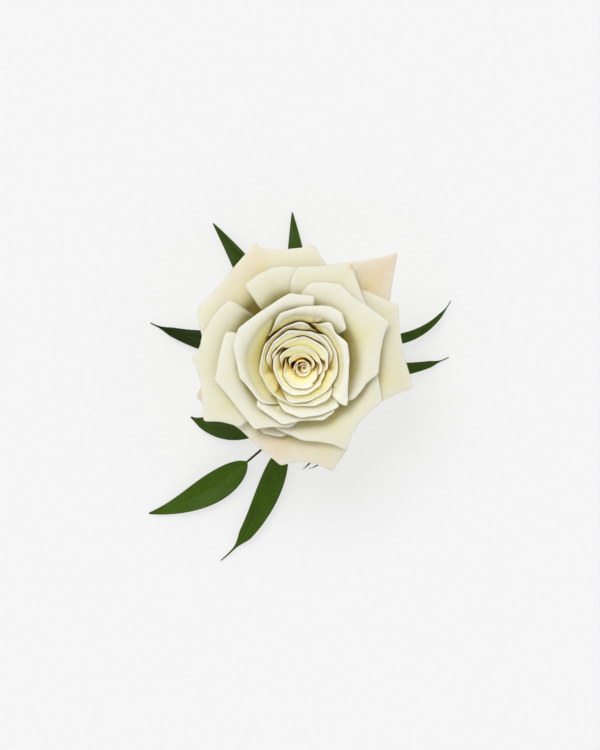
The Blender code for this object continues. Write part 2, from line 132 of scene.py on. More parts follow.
# Each petal: its layer on the hip, its crest radius at the clockwise end, the middle and the other end,
# and the corners (x, y) of its margin in plan, anticlockwise.
PETALS = {
    "centre_petal_1": (0, (1.6, 1.6, 1.6), (
        (2.6, 6.4), (2.6, 8.4), (0.8, 9.6), (-1.0, 8.6), (-1.6, 7.0))),
    "centre_petal_2": (1.2, (2.8, 2.8, 2.8), (
        (-2.8, 7.6), (-3.0, 5.2), (-1.2, 3.6), (1.4, 3.2), (3.4, 4.6))),
    "centre_petal_3": (2.4, (4.6, 4.0, 4.0), (
        (5.2, 5.2), (5.6, 7.6), (4.2, 9.8), (1.8, 11.2), (-1.6, 11.0), (-4.0, 9.8), (-5.0, 7.4))),
    "centre_petal_4": (3.6, (5.3, 6.4, 6.8), (
        (-6.2, 7.0), (-5.6, 3.2), (-3.0, -0.2), (1.8, -1.0), (5.2, 0.4), (7.2, 3.4))),
    "centre_petal_5": (4.8, (7.8, 6.4, 6.8), (
        (7.6, 3.8), (8.0, 7.0), (6.2, 11.0), (0.6, 13.4), (-5.6, 12.4), (-8.0, 9.2))),
    "centre_petal_6": (6, (8.0, 8.4, 8.6), (
        (-9.6, 10.0), (-9.8, 7.0), (-8.2, 2.6), (-5.8, -1.2), (-2.4, -3.2), (2.6, -2.8), (7.4, 0.6),
        (9.4, 4.0))),
    "centre_petal_7": (7.2, (9.8, 9.6, 9.4), (
        (9.8, 5.6), (9.8, 12.0), (7.4, 14.6), (1.6, 17.6), (-2.8, 16.2), (-8.0, 13.2), (-10.2, 10.6))),
    "centre_petal_8": (8.4, (10.8, 11.2, 11.4), (
        (11.4, 11.4), (8.8, 16.4), (5.2, 18.8), (-4.2, 19.6), (-9.8, 15.0), (-12.0, 10.0))),
    "centre_petal_9": (9.4, (11.8, 12.2, 12.6), (
        (-3.0, -6.0), (2.8, -5.4), (9.8, -1.2), (13.0, 3.4), (13.4, 7.0), (12.8, 11.6), (9.6, 17.4))),
    "centre_petal_10": (10.8, (13.4, 13.0, 13.4), (
        (0.0, 22.6), (-6.0, 20.4), (-12.6, 14.4), (-13.8, 9.2), (-14.2, 4.8), (-9.8, -2.2), (-3.2, -6.8),
        (4.6, -7.0), (9.6, -4.6))),
    "ring_petal_1": (11.8, (15.2, 15.0, 16.4), (
        (14.4, -7.0), (16.6, -6.4), (17.4, 8.8), (16.8, 15.2), (12.4, 18.6), (10.6, 23.2), (5.4, 25.0))),
    "ring_petal_2": (13.2, (18.4, 17.8, 16.0), (
        (16.4, 19.8), (14.4, 26.0), (10.4, 28.2), (0.6, 28.0), (-7.0, 25.6), (-9.6, 22.4), (-13.0, 18.6))),
    "ring_petal_3": (12.6, (14.8, 15.2, 17.2), (
        (-11.0, -5.0), (-5.4, -9.0), (0.4, -11.0), (7.4, -9.8), (14.4, -6.8))),
    "ring_petal_4": (14.2, (19.8, 19.0, 16.6), (
        (6.0, 31.4), (-3.6, 32.6), (-14.0, 26.2), (-21.6, 20.6), (-23.4, 14.2), (-21.2, 3.0), (-15.2, -4.2),
        (-7.0, -9.6))),
    "ring_petal_5": (15.4, (18.2, 17.6, 18.4), (
        (-17.6, -3.2), (-15.0, -7.0), (-11.2, -10.0), (-6.0, -13.4), (0.6, -12.0), (8.0, -11.6),
        (13.4, -8.0))),
    "middle_petal_1": (16.4, (19.6, 21.0, 22.0), (
        (13.0, -8.4), (16.6, -7.0), (20.4, -3.0), (23.4, 1.0), (27.6, 4.6), (28.2, 12.2), (29.0, 16.8),
        (31.4, 22.6), (25.0, 27.0), (18.5, 31.4), (14.0, 36.0), (4.0, 36.5), (-3.6, 36.5))),
    "middle_petal_2": (17.2, (20.8, 20.8, 19.2), (
        (-25.0, 20.4), (-27.0, 17.0), (-28.4, 11.0), (-29.2, 6.4), (-30.0, 2.4), (-21.0, -9.0),
        (-16.0, -15.0), (-11.0, -14.4), (0.6, -14.4), (3.6, -14.0))),
    "middle_petal_3": (17.4, (23.0, 23.4, 23.4), (
        (27.0, 22.5), (24.0, 27.4), (21.5, 32.6), (19.6, 38.0), (18.4, 43.2), (6.4, 42.2), (-0.6, 42.0),
        (-3.6, 36.0))),
    "middle_petal_4": (18.4, (24.6, 24.2, 22.8), (
        (0.0, 37.5), (-1.4, 42.0), (-5.4, 42.2), (-10.0, 41.6), (-14.0, 39.8), (-20.0, 35.2))),
    "outer_petal_1": (18.6, (22.0, 22.8, 23.4), (
        (-13.4, -13.0), (-9.4, -14.4), (-5.4, -16.4), (0.6, -18.8), (6.4, -19.4), (12.2, -20.6),
        (16.4, -22.4), (18.6, -16.4), (21.0, -12.4), (24.0, -9.4), (28.8, -5.4), (27.2, 4.4), (26.6, 8.6))),
    "outer_petal_2": (18.6, (24.8, 24.4, 22.8), (
        (-23.6, 31.4), (-27.4, 28.0), (-31.0, 23.4), (-34.2, 18.0), (-35.0, 14.0), (-38.0, 9.6),
        (-34.8, 1.6), (-34.2, -5.4), (-34.0, -12.0), (-28.0, -12.4), (-23.6, -13.4), (-20.0, -14.6))),
    "outer_petal_3": (19.6, (25.2, 25.4, 25.4), (
        (26.0, -7.6), (28.8, -5.4), (35.6, -2.2), (39.6, -0.6), (37.0, 9.2), (35.6, 16.8), (34.6, 24.0),
        (34.6, 28.8), (31.6, 29.6), (26.4, 32.2), (21.0, 34.2), (18.0, 36.0))),
    "outer_petal_4": (19.8, (26.4, 26.6, 26.6), (
        (11.0, 39.0), (9.6, 42.6), (6.4, 47.4), (5.0, 49.8), (0.0, 48.6), (-7.0, 48.0), (-14.0, 48.6),
        (-15.6, 51.0), (-22.5, 42.6), (-29.2, 34.6), (-36.0, 27.0), (-36.0, 24.0), (-34.6, 18.6),
        (-33.6, 14.6))),
    "outer_petal_5": (19.4, (24.6, 24.2, 24.2), (
        (-20.0, -13.8), (-16.4, -15.2), (-12.4, -16.6), (-7.6, -17.8), (-3.0, -18.2), (1.0, -17.6))),
    "outer_petal_6": (20.8, (27.8, 27.8, 27.8), (
        (30.6, 26.0), (31.6, 29.6), (33.0, 37.4), (34.6, 47.6), (32.0, 46.2), (21.0, 44.0), (9.6, 42.6),
        (3.6, 41.6))),
    "outer_petal_7": (21.2, (26.0, 26.0, 25.4), (
        (-25.2, -11.0), (-23.4, -13.4), (-21.0, -15.0), (-14.0, -22.0), (-6.8, -28.0), (-0.6, -26.4),
        (5.2, -27.4), (11.6, -29.8), (16.4, -22.4), (18.0, -18.6))),
    "outer_petal_8": (20.8, (27.4, 27.4, 27.4), (
        (-31.6, 4.0), (-34.6, 0.0), (-36.6, -3.6), (-34.0, -6.0), (-31.0, -9.6))),
}
# How many mm of each end of a petal are tucked in behind its neighbours: clockwise end, other end.
TUCKED_ENDS = {
    "ring_petal_1": (1.5, 8.0),
    "ring_petal_2": (1.0, 8.0),
    "ring_petal_3": (8.0, 1.5),
    "ring_petal_4": (1.5, 8.0),
    "ring_petal_5": (5.0, 2.8),
    "middle_petal_2": (2.0, 8.0),
    "middle_petal_3": (0.5, 1.5),
    "middle_petal_4": (1.0, 1.0),
    "outer_petal_1": (6.0, 1.0),
    "outer_petal_2": (2.0, 2.0),
    "outer_petal_3": (1.0, 1.0),
    "outer_petal_4": (1.0, 1.0),
    "outer_petal_6": (1.0, 1.0),
    "outer_petal_7": (1.0, 1.0),
    "outer_petal_8": (1.0, 1.0),
}
# The two innermost petals are scrolls: start angle, turns, first and last radius, first and last height
# of the edge, and the middle (x, y) of the scroll in plan.
SCROLLS = {
    "centre_petal_1": (0.6, 1.35, 0.35, 1.55, 45.6, 46.2, (1.5, 6.3)),
    "centre_petal_2": (2.4, 1.15, 1.95, 2.8, 45.6, 46.4, (0.9, 6.1)),
}
GUARDS = ("outer_petal_6", "outer_petal_7", "outer_petal_8")

# Pink and amber marks: (petal, x, y, radius, strength), in plan.
MARKS = (
    ("outer_petal_6", 27.0, 38.0, 9.0, 0.50),
    ("outer_petal_6", 31.0, 45.0, 6.0, 0.20),
    ("outer_petal_7", -10.0, -21.0, 9.0, 0.30),
    ("outer_petal_7", 6.0, -24.0, 8.0, 0.12),
    ("outer_petal_4", -17.0, 44.0, 8.0, 0.3),
    ("outer_petal_4", -24.0, 34.0, 7.0, 0.2),
    ("outer_petal_8", -35.0, -3.0, 3.0, 0.6),
    ("outer_petal_3", 36.0, 4.0, 5.0, 0.12),
    ("middle_petal_3", 18.6, 42.2, 1.6, 1.0),
    ("outer_petal_3", 22.0, 34.0, 2.2, 0.9),
)

# Each leaf: its width, its fold in degrees, its roll in degrees, and its midrib as (x, y, z) points
# from the petiole to the tip.
LEAVES = {
    "leaf_1": (9.6, 26, 14, ((-11.0, 28.6, 2.2), (-16.0, 37.4, 4.6), (-22.4, 47.4, 3.6), (-31.4, 58.8, 0.6))),
    "leaf_2": (8.6, 16, 0, ((-5.6, 28.6, 2.2), (0.6, 34.0, 4.6), (-1.8, 50.0, 3.6), (-2.8, 62.8, 0.6))),
    "leaf_3": (9.8, 16, 0, ((-11.6, 14.8, 2.4), (-22.0, 14.6, 4.8), (-38.0, 15.0, 3.2), (-54.0, 22.8, 0.6))),
    "leaf_4": (4.8, 20, 30, ((24.4, 16.4, 2.2), (36.0, 14.6, 4.6), (47.6, 18.4, 4.2), (54.4, 30.8, 1.6))),
    "leaf_5": (6.0, 14, 0, ((10.6, 6.2, 2.4), (24.0, 4.4, 4.8), (44.0, 5.4, 3.2), (53.8, 10.4, 0.6))),
    "leaf_6": (17.0, 12, 0, ((-6.6, 1.4, 2.8), (-14.0, -9.6, 4.6), (-26.0, -19.4, 4.2), (-39.4, -11.2, 0.8))),
    "leaf_7": (11.8, 10, 0, ((-4.6, -15.4, 3.0), (-19.0, -26.0, 4.6), (-32.0, -42.0, 3.6),
                             (-54.6, -46.0, 0.6))),
    "leaf_8": (9.4, 12, 0, ((-4.8, -18.6, 2.6), (-8.6, -31.0, 4.0), (-14.6, -52.0, 3.4),
                            (-28.6, -63.0, 0.6))),
    "leaf_9": (1.7, 12, 0, ((5.0, -14.2, 3.0), (16.0, -17.0, 5.2), (11.4, -27.6, 5.0), (3.2, -29.8, 3.4))),
    "leaf_10": (1.7, 12, 0, ((4.8, -18.0, 2.8), (9.0, -19.6, 2.4), (6.0, -26.6, 1.6), (0.8, -30.2, 0.6))),
}
# How much darker than its own colour each leaf is: partly each leaf's own tone and partly painted shade where
# it lies in the bloom's shadow.
SHADES = {"leaf_1": 0.35, "leaf_2": 0.30, "leaf_3": 0.80, "leaf_4": 0.30, "leaf_5": 0.35, "leaf_6": 0.35,
          "leaf_7": 0.0, "leaf_8": 0.10, "leaf_9": 0.5, "leaf_10": 0.5}
# Leaves that twist as they leave the bloom: by how many degrees, and between which shares of their length.
TWISTS = {"leaf_7": (16.0, 0.48, 0.80)}
# The routes of the two sprig stems, as control points, by node name.
SPRIGS = {
    "sprig_stem_left": ((-SPRIG_OFFSET, STEM_END_Y + 1.5, STEM_HEIGHT), (-SPRIG_OFFSET, -2.0, STEM_HEIGHT),
                        (-SPRIG_OFFSET, 5.0, STEM_HEIGHT), (-9.8, 16.0, 2.2), (-8.2, 28.0, 1.6)),
    "sprig_stem_right": ((SPRIG_OFFSET, STEM_END_Y + 2.5, STEM_HEIGHT), (SPRIG_OFFSET, -2.0, STEM_HEIGHT),
                         (SPRIG_OFFSET, 5.0, STEM_HEIGHT), (10.0, 12.0, 2.2), (23.0, 16.8, 1.6)),
}
# A leaf's stalk: its rows between the blade and the sprig, and the shares of two leaves that are all stalk.
STALK_ROWS = 8
STALK_HALF_WIDTH = 0.32
PETIOLES = {"leaf_7": 0.34, "leaf_8": 0.08}
# Leaves that end in a thin tail, and where along them it starts.
TAILS = {"leaf_8": 0.82, "leaf_5": 0.86, "leaf_3": 0.90, "leaf_4": 0.90, "leaf_6": 0.97}

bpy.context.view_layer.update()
noise.seed_set(WAVE_SEED)


# ---------------------------------------------------------------- materials

def set_stops(ramp, stops):
    """Give a colour ramp its stops, each a place and a colour."""
    while len(ramp.elements) < len(stops):
        ramp.elements.new(0.5)
    for element, (place, colour) in zip(ramp.elements, stops):
        element.position = place
        element.color = (*colour, 1.0)


def greys(stops):
    return [(place, (level, level, level)) for place, level in stops]


class Look:
    """A material round one Principled shader, with short ways to add nodes."""

    def __init__(self, name, **sockets):
        self.material = bpy.data.materials.new(name)
        self.material.use_nodes = True
        self.nodes = self.material.node_tree.nodes
        self.links = self.material.node_tree.links
        self.shader = self.nodes["Principled BSDF"]
        for socket, value in sockets.items():
            self.shader.inputs[socket.replace("_", " ")].default_value = value

    def add(self, kind, inputs, **settings):
        made = self.nodes.new("ShaderNode" + kind)
        for key, value in settings.items():
            setattr(made, key, value)
        for socket, value in inputs.items():
            if isinstance(value, bpy.types.NodeSocket):
                self.links.new(value, made.inputs[socket])
            else:
                made.inputs[socket].default_value = value
        return made

    def places(self):
        return self.add("TexCoord", {}).outputs["Object"]

    def sheet(self):
        return self.add("UVMap", {}, uv_map="sheet").outputs[0]

    def value(self, name):
        return self.add("Attribute", {}, attribute_name=name).outputs["Fac"]

    def math(self, operation, a, b, clamp=False):
        return self.add("Math", {0: a, 1: b}, operation=operation, use_clamp=clamp).outputs[0]

    def plus(self, a, b, clamp=False):
        return self.math("ADD", a, b, clamp)

    def times(self, a, b):
        return self.math("MULTIPLY", a, b)

    def blend(self, a, b, share):
        """That share of the first value and the rest of the second."""
        return self.plus(self.times(a, share), self.times(b, 1.0 - share))

    def mix(self, share, a, b, blend="MIX"):
        made = self.add("Mix", {0: share, 6: a, 7: b}, data_type="RGBA", blend_type=blend)
        return made.outputs[2]

    def ramp(self, value, stops):
        made = self.add("ValToRGB", {0: value})
        made.color_ramp.interpolation = "EASE"
        set_stops(made.color_ramp, stops)
        return made.outputs[0]

    def grey_ramp(self, value, stops):
        return self.ramp(value, greys(stops))

    def scaled(self, vector, scale):
        return self.add("Mapping", {0: vector, 3: scale}).outputs[0]

    def noise(self, vector, scale, detail=2.0, roughness=0.5, distortion=0.0):
        inputs = {"Vector": vector, "Scale": scale, "Detail": detail, "Roughness": roughness,
                  "Distortion": distortion}
        return self.add("TexNoise", inputs).outputs["Fac"]

    def bump(self, height, strength, distance, normal=None):
        inputs = {"Height": height, "Strength": strength, "Distance": distance}
        if normal is not None:
            inputs["Normal"] = normal
        return self.add("Bump", inputs).outputs[0]

    def finish(self, colour, roughness, normal):
        self.links.new(colour, self.shader.inputs["Base Color"])
        self.links.new(roughness, self.shader.inputs["Roughness"])
        self.links.new(normal, self.shader.inputs["Normal"])
        return self.material


def petal_look(name, blush_colour, blush_all, vein_depth):
    """Petal skin: white at the margin, yellow in the depths, and warmer in the centre of the bloom. On the
    pale petals the depths are also darker: partly their own colour, partly painted shade.
    """
    look = Look(name, Subsurface_Weight=0.3, Subsurface_Radius=(1.0, 0.8, 0.35),
                Subsurface_Scale=0.0008, Specular_IOR_Level=0.2)
    places = look.places()
    sheet = look.sheet()
    rise = look.times(look.value("rise"), 0.5)
    mottle = look.noise(places, 150.0, 3.0, 0.55)
    height = look.plus(rise, look.times(look.math("SUBTRACT", mottle, 0.5), 0.12))
    # The pale ramp turns darker and more khaki low down: partly the petals' own yellow base and partly
    # painted shade in the bowl.
    pale = look.ramp(height, [(0.0, (0.70, 0.61, 0.15)), (0.2, (0.79, 0.72, 0.34)),
                              (0.36, (0.82, 0.775, 0.50)), (0.54, (0.825, 0.80, 0.62)),
                              (1.0, (0.83, 0.82, 0.71))])
    warm = look.ramp(height, [(0.0, (1.0, 0.86, 0.32)), (0.2, (1.0, 0.93, 0.48)),
                              (0.38, (1.0, 0.955, 0.63)), (0.50, (0.995, 0.96, 0.74)),
                              (0.60, (0.985, 0.965, 0.84)), (1.0, (0.97, 0.955, 0.87))])
    colour = look.mix(look.value("warm"), pale, warm)
    # The backs are paler than the bowls, and green where they leave the hip.
    back = look.ramp(height, [(0.0, (0.62, 0.66, 0.36)), (0.22, (0.76, 0.76, 0.55)),
                              (0.6, (0.82, 0.81, 0.68))])
    green_share = look.math("SUBTRACT", 0.8, look.times(look.value("warm"), 0.7))
    backs = look.times(look.value("side"), green_share)
    colour = look.mix(backs, colour, back)
    # Veins fan out lengthwise from the claw.
    streaks = look.noise(look.scaled(sheet, (1.4, 0.05, 1.0)), 1.0, 4.0, 0.6, 0.3)
    fine = look.noise(look.scaled(sheet, (5.0, 0.16, 1.0)), 1.0, 3.0, 0.6, 0.2)
    veins = look.plus(streaks, look.times(fine, 0.5))
    vein_shade = look.ramp(veins, [(0.45, (0.965, 0.955, 0.92)), (0.85, (1.0, 1.0, 1.0))])
    colour = look.mix(1.0, colour, vein_shade, "MULTIPLY")
    # Blush: pink and amber marks, broken up along the veins.
    broken = look.grey_ramp(look.plus(mottle, look.times(streaks, 0.6)),
                            [(0.5, 0.25), (1.0, 1.0)])
    blush = look.plus(look.value("blush"), blush_all, True)
    colour = look.mix(look.times(blush, broken), colour, blush_colour)
    # The last half millimetre is thin and takes a faint tan edge in places.
    edge = look.grey_ramp(look.value("edge"), [(0.0, 1.0), (0.4, 0.0)])
    tan = look.times(edge, look.grey_ramp(mottle, [(0.40, 0.0), (0.62, 0.8)]))
    colour = look.mix(look.times(tan, look.value("age")), colour, (0.62, 0.47, 0.24, 1.0))
    cells = look.noise(places, 2600.0, 2.0, 0.6)
    normal = look.bump(veins, 0.5, vein_depth)
    normal = look.bump(cells, 0.25, 0.00003, normal)
    roughness = look.grey_ramp(mottle, [(0.2, 0.48), (0.8, 0.62)])
    return look.finish(colour, roughness, normal)


def leaf_look():
    """Ruscus leaf: dark above, paler below, with fine lines beside the rib."""
    look = Look("leaf", Specular_IOR_Level=0.16)
    places = look.places()
    sheet = look.sheet()
    mottle = look.noise(places, 110.0, 4.0, 0.6)
    along = look.noise(look.scaled(sheet, (7.0, 0.9, 1.0)), 1.0, 4.0, 0.65)
    top = look.ramp(look.blend(mottle, along, 0.6),
                    [(0.3, (0.018, 0.044, 0.0)), (0.5, (0.036, 0.086, 0.0)),
                     (0.72, (0.070, 0.136, 0.0))])
    below = look.ramp(mottle, [(0.3, (0.07, 0.13, 0.02)), (0.7, (0.11, 0.18, 0.04))])
    colour = look.mix(look.value("side"), top, below)
    lines = look.add("TexWave", {"Vector": look.scaled(sheet, (1.0, 0.02, 1.0)), "Scale": 4.4,
                                 "Distortion": 1.2, "Detail": 2.0, "Detail Scale": 3.0},
                     bands_direction="X").outputs["Fac"]
    colour = look.mix(look.times(lines, 0.30), colour, (0.10, 0.20, 0.0, 1.0))
    rib = look.grey_ramp(look.value("rib"), [(0.0, 0.55), (0.05, 0.0)])
    colour = look.mix(rib, colour, (0.13, 0.23, 0.01, 1.0))
    tip = look.grey_ramp(look.value("tip"), [(0.965, 0.0), (1.0, 0.9)])
    colour = look.mix(tip, colour, (0.035, 0.022, 0.008, 1.0))
    # Each leaf's darkening: partly its own tone, partly painted shade.
    colour = look.mix(look.value("shade"), colour, (0.006, 0.014, 0.0, 1.0))
    petiole = look.grey_ramp(look.value("petiole"), [(0.0, 0.0), (1.0, 0.85)])
    colour = look.mix(petiole, colour, (0.07, 0.045, 0.010, 1.0))
    height = look.plus(lines, look.times(along, 0.8))
    normal = look.bump(height, 0.4, 0.00012)
    normal = look.bump(look.noise(places, 1500.0, 2.0), 0.15, 0.00003, normal)
    roughness = look.grey_ramp(along, [(0.25, 0.24), (0.75, 0.34)])
    return look.finish(colour, roughness, normal)


def green_look(name, dark, mid, light, rough, cut_and_painted_glow_colour=(0.55, 0.60, 0.34)):
    """Stem, hip and sepal skin: streaked lengthwise, with paler flecks, and a pale amber top on the hip's
    dome that is partly painted glow.
    """
    look = Look(name, Specular_IOR_Level=0.45, Coat_Weight=0.1, Coat_Roughness=0.35,
                Subsurface_Weight=0.1, Subsurface_Radius=(0.5, 1.0, 0.2), Subsurface_Scale=0.001)
    places = look.places()
    sheet = look.sheet()
    along = look.noise(look.scaled(sheet, (2.2, 0.12, 1.0)), 1.0, 4.0, 0.6)
    mottle = look.noise(places, 260.0, 4.0, 0.6)
    colour = look.ramp(look.blend(along, mottle, 0.6), [(0.3, dark), (0.5, mid), (0.72, light)])
    flecks = look.grey_ramp(look.noise(places, 900.0, 2.0, 0.5), [(0.66, 0.0), (0.74, 0.45)])
    colour = look.mix(flecks, colour, (0.36, 0.42, 0.18, 1.0))
    # Cut ends take their own paler colour; on the hip the dome takes pale amber, partly its own colour and
    # partly painted glow in the shade between the petals.
    colour = look.mix(look.value("cut"), colour, (*cut_and_painted_glow_colour, 1.0))
    normal = look.bump(along, 0.5, 0.00025)
    normal = look.bump(look.noise(places, 1800.0, 3.0), 0.3, 0.00005, normal)
    roughness = look.grey_ramp(mottle, [(0.25, rough - 0.08), (0.75, rough + 0.1)])
    return look.finish(colour, roughness, normal)


def tape_look():
    """Waxed crepe paper: fine crinkles across the wrap, darker along the edges where one turn laps over the
    next.
    """
    look = Look("tape", Specular_IOR_Level=0.4, Sheen_Weight=0.1)
    places = look.places()
    sheet = look.sheet()
    crinkle = look.noise(look.scaled(sheet, (0.35, 3.2, 1.0)), 1.6, 4.0, 0.65, 0.4)
    mottle = look.noise(places, 220.0, 4.0, 0.6)
    colour = look.ramp(look.blend(crinkle, mottle, 0.5),
                       [(0.3, (0.045, 0.095, 0.03)), (0.5, (0.085, 0.16, 0.055)),
                        (0.72, (0.14, 0.235, 0.09))])
    colour = look.mix(look.grey_ramp(look.value("seam"), [(0.0, 0.6), (0.25, 0.0)]), colour,
                      (0.03, 0.065, 0.02, 1.0))
    normal = look.bump(crinkle, 0.7, 0.0003)
    roughness = look.grey_ramp(mottle, [(0.25, 0.55), (0.75, 0.75)])
    return look.finish(colour, roughness, normal)


# ---------------------------------------------------------------- sheets and tubes

def add_values(mesh, values):
    for name, numbers in values.items():
        layer = mesh.attributes.new(name, "FLOAT", "POINT")
        layer.data.foreach_set("value", np.asarray(numbers, np.float32).ravel())


def add_uv(mesh, uv):
    corners = np.empty(len(mesh.loops), np.int32)
    mesh.loops.foreach_get("vertex_index", corners)
    layer = mesh.uv_layers.new(name="sheet")
    layer.data.foreach_set("uv", np.asarray(uv, np.float32)[corners].ravel())


def piece(name, points, faces, uv, values, look):
    """Make the mesh object that stands for the CAD node of that name."""
    mesh = bpy.data.meshes.new(name + "_skin")
    mesh.from_pydata((np.asarray(points) * MM).tolist(), [], faces)
    mesh.shade_smooth()
    add_uv(mesh, uv)
    add_values(mesh, values)
    mesh.materials.append(look)
    mesh.validate()
    made = bpy.data.objects.new(name + "_skin", mesh)
    bpy.context.scene.collection.objects.link(made)
    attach(made, "root")
    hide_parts(name)


def sheet_piece(name, grid, thickness, uv, values, look, flip=False):
    """A closed sheet round a grid of rows x columns x 3, thick as the rows x columns of thickness say.

    The first side is the one that faces the bloom's axis or up; "side" is 1 on the other. A value is one
    number for the whole sheet, or one for each point of the grid.
    """
    grid = np.asarray(grid, float)
    rows, columns = grid.shape[:2]
    normal = np.cross(np.gradient(grid, axis=1), np.gradient(grid, axis=0))
    normal /= np.maximum(np.linalg.norm(normal, axis=2, keepdims=True), 1e-9)
    if flip:
        normal = -normal
    half = np.asarray(thickness)[..., None] / 2
    first, second = grid - normal * half, grid + normal * half
    points = np.concatenate([first.reshape(-1, 3), second.reshape(-1, 3)])
    count = rows * columns
    index = np.arange(count).reshape(rows, columns)
    a, b, c, d = index[:-1, :-1], index[:-1, 1:], index[1:, 1:], index[1:, :-1]
    quads = np.stack([a, b, c, d], axis=-1).reshape(-1, 4)
    reversed_quads = quads[:, ::-1]
    near, far = (reversed_quads + count, quads) if flip else (quads + count, reversed_quads)
    ring = np.concatenate([index[0, :], index[1:, -1], index[-1, -2::-1], index[-2:0:-1, 0]])
    after = np.roll(ring, -1)
    rim = np.stack([ring, after, after + count, ring + count], axis=-1)
    if flip:
        rim = rim[:, ::-1]
    faces = np.concatenate([near, far, rim]).tolist()
    doubled = {key: np.tile(np.resize(v, count), 2) for key, v in values.items()}
    doubled["side"] = np.concatenate([np.zeros(count), np.ones(count)])
    uv = np.asarray(uv, float).reshape(-1, 2)
    piece(name, points, faces, np.concatenate([uv, uv]), doubled, look)


def grid_of(rows, columns, place):
    """Rows x columns of what place(t, s) gives, t from 0 to 1 up the rows and s along them."""
    return np.array([[place(row / (rows - 1), column / (columns - 1)) for column in range(columns)]
                     for row in range(rows)])


def from_ends(count):
    """How many steps each of count columns is from the nearer end."""
    return np.minimum(np.arange(count), np.arange(count)[::-1])


def around(sides):
    """Each side of a ring with the next, back to the first."""
    return [(side, (side + 1) % sides) for side in range(sides)]


def tube_piece(name, rings, uv, values, look):
    """A closed tube through rings x sides x 3 points, with flat ends."""
    rings = np.asarray(rings, float)
    count, sides = rings.shape[:2]
    points = rings.reshape(-1, 3)
    faces = [[r * sides + s, r * sides + t, (r + 1) * sides + t, (r + 1) * sides + s]
             for r in range(count - 1) for s, t in around(sides)]
    total = len(points)
    points = np.concatenate([points, rings[0].mean(axis=0)[None], rings[-1].mean(axis=0)[None]])
    for s, t in around(sides):
        faces.append([total, t, s])
        faces.append([total + 1, (count - 1) * sides + s, (count - 1) * sides + t])
    uv = np.concatenate([np.asarray(uv, float).reshape(-1, 2), [[0, 0], [0, 0]]])
    values = {key: np.append(np.ravel(v), [np.ravel(v)[0], np.ravel(v)[-1]]) for key, v in values.items()}
    piece(name, points, faces, uv, values, look)


# ---------------------------------------------------------------- the rose

def axis_y(height):
    """Where the leaning axis of the rose is at that height."""
    return AXIS_Y + LEAN * (height - HIP_HEIGHT)


def smooth(t):
    t = min(max(t, 0.0), 1.0)
    return t * t * (3.0 - 2.0 * t)


def crest_height(crest):
    """The bloom's profile: the crests sink in the centre and drop away outwards."""
    return CROWN - OUTER_DROP * (crest / OUTER_CREST) ** 3 - CENTRE_SINK * math.exp(-crest / CENTRE_WIDTH)


def crest_slope(crest):
    """How steeply a wall meets its crest: steeply in the centre, and flatter outside."""
    return 1.6 + 8.0 / (crest + 1.0)


def claw_direction(layer):
    """The way a petal leaves the hip: (outwards, up), flat when innermost and upright when outermost."""
    out = math.radians(82.0 - 84.0 * layer / LAST_LAYER)
    return Vector((math.cos(out), math.sin(out)))


def margin_step(size):
    """How far apart the columns of a petal are, in mm."""
    return 0.3 + 0.012 * size


def lip_height(crest, reach):
    """How far the lip is above its crest, that far out: it rises on, levels and droops."""
    size = crest / OUTER_CREST
    rise = 2.2 + 2.4 * size * size
    droop = 0.1
    width = rise / (crest_slope(crest) + droop)
    return rise * (1.0 - math.exp(-reach / width)) - droop * reach - 0.006 * reach * reach


def cubic(a, b, c, d, t):
    """A point on the cubic curve with those four control points."""
    s = 1.0 - t
    return a * s ** 3 + b * 3 * s * s * t + c * 3 * s * t * t + d * t ** 3


def bowl_point(layer, crest, t):
    """(radius, height) on the plain wall of a petal, from the hip at t = 0 to the crest at t = 1."""
    polar = math.radians(FIRST_LAYER + LAYER_STEP * layer)
    clear = GAP + PETAL_THICKNESS
    base = Vector((
        (HIP_RADIUS + clear) * math.sin(polar),
        HIP_HEIGHT + (HIP_RISE + clear) * math.cos(polar),
    ))
    top = Vector((crest, crest_height(crest)))
    reach = (top - base).length
    start = base + claw_direction(layer) * reach * 0.36
    slope = crest_slope(crest)
    end = top - Vector((1.0, slope)).normalized() * reach * (0.15 + 0.25 * crest / OUTER_CREST)
    return cubic(base, start, end, top, t)


def across(values, t):
    """A value that goes smoothly from the first through the middle one to the last."""
    first, middle, last = values
    if t < 0.5:
        return first + (middle - first) * smooth(2.0 * t)
    return middle + (last - middle) * smooth(2.0 * t - 1.0)


def fine_margin(corners, step, passes):
    """Points along the margin with eased corners, how far along each is, and how far from a corner."""
    points, sharp = [], []
    for number, (start, end) in enumerate(zip(corners, corners[1:])):
        start, end = Vector(start), Vector(end)
        parts = max(2, math.ceil((end - start).length / step))
        for k in range(parts):
            points.append(start.lerp(end, k / parts))
            bend = 0.0
            if k == 0 and number > 0:
                bend = abs((start - Vector(corners[number - 1])).angle(end - start))
            sharp.append(math.degrees(bend) > CORNER_DEGREES)
    points.append(Vector(corners[-1]))
    sharp.append(False)
    for _ in range(passes):
        eased = [(a + b * 2 + c) / 4 for a, b, c in zip(points, points[1:], points[2:])]
        points = [points[0], *eased, points[-1]]
    run = [0.0]
    for a, b in zip(points, points[1:]):
        run.append(run[-1] + (b - a).length)
    places = [s for s, is_sharp in zip(run, sharp) if is_sharp]
    apart = [min([abs(s - place) for place in places], default=FAR) for s in run]
    return points, run, apart


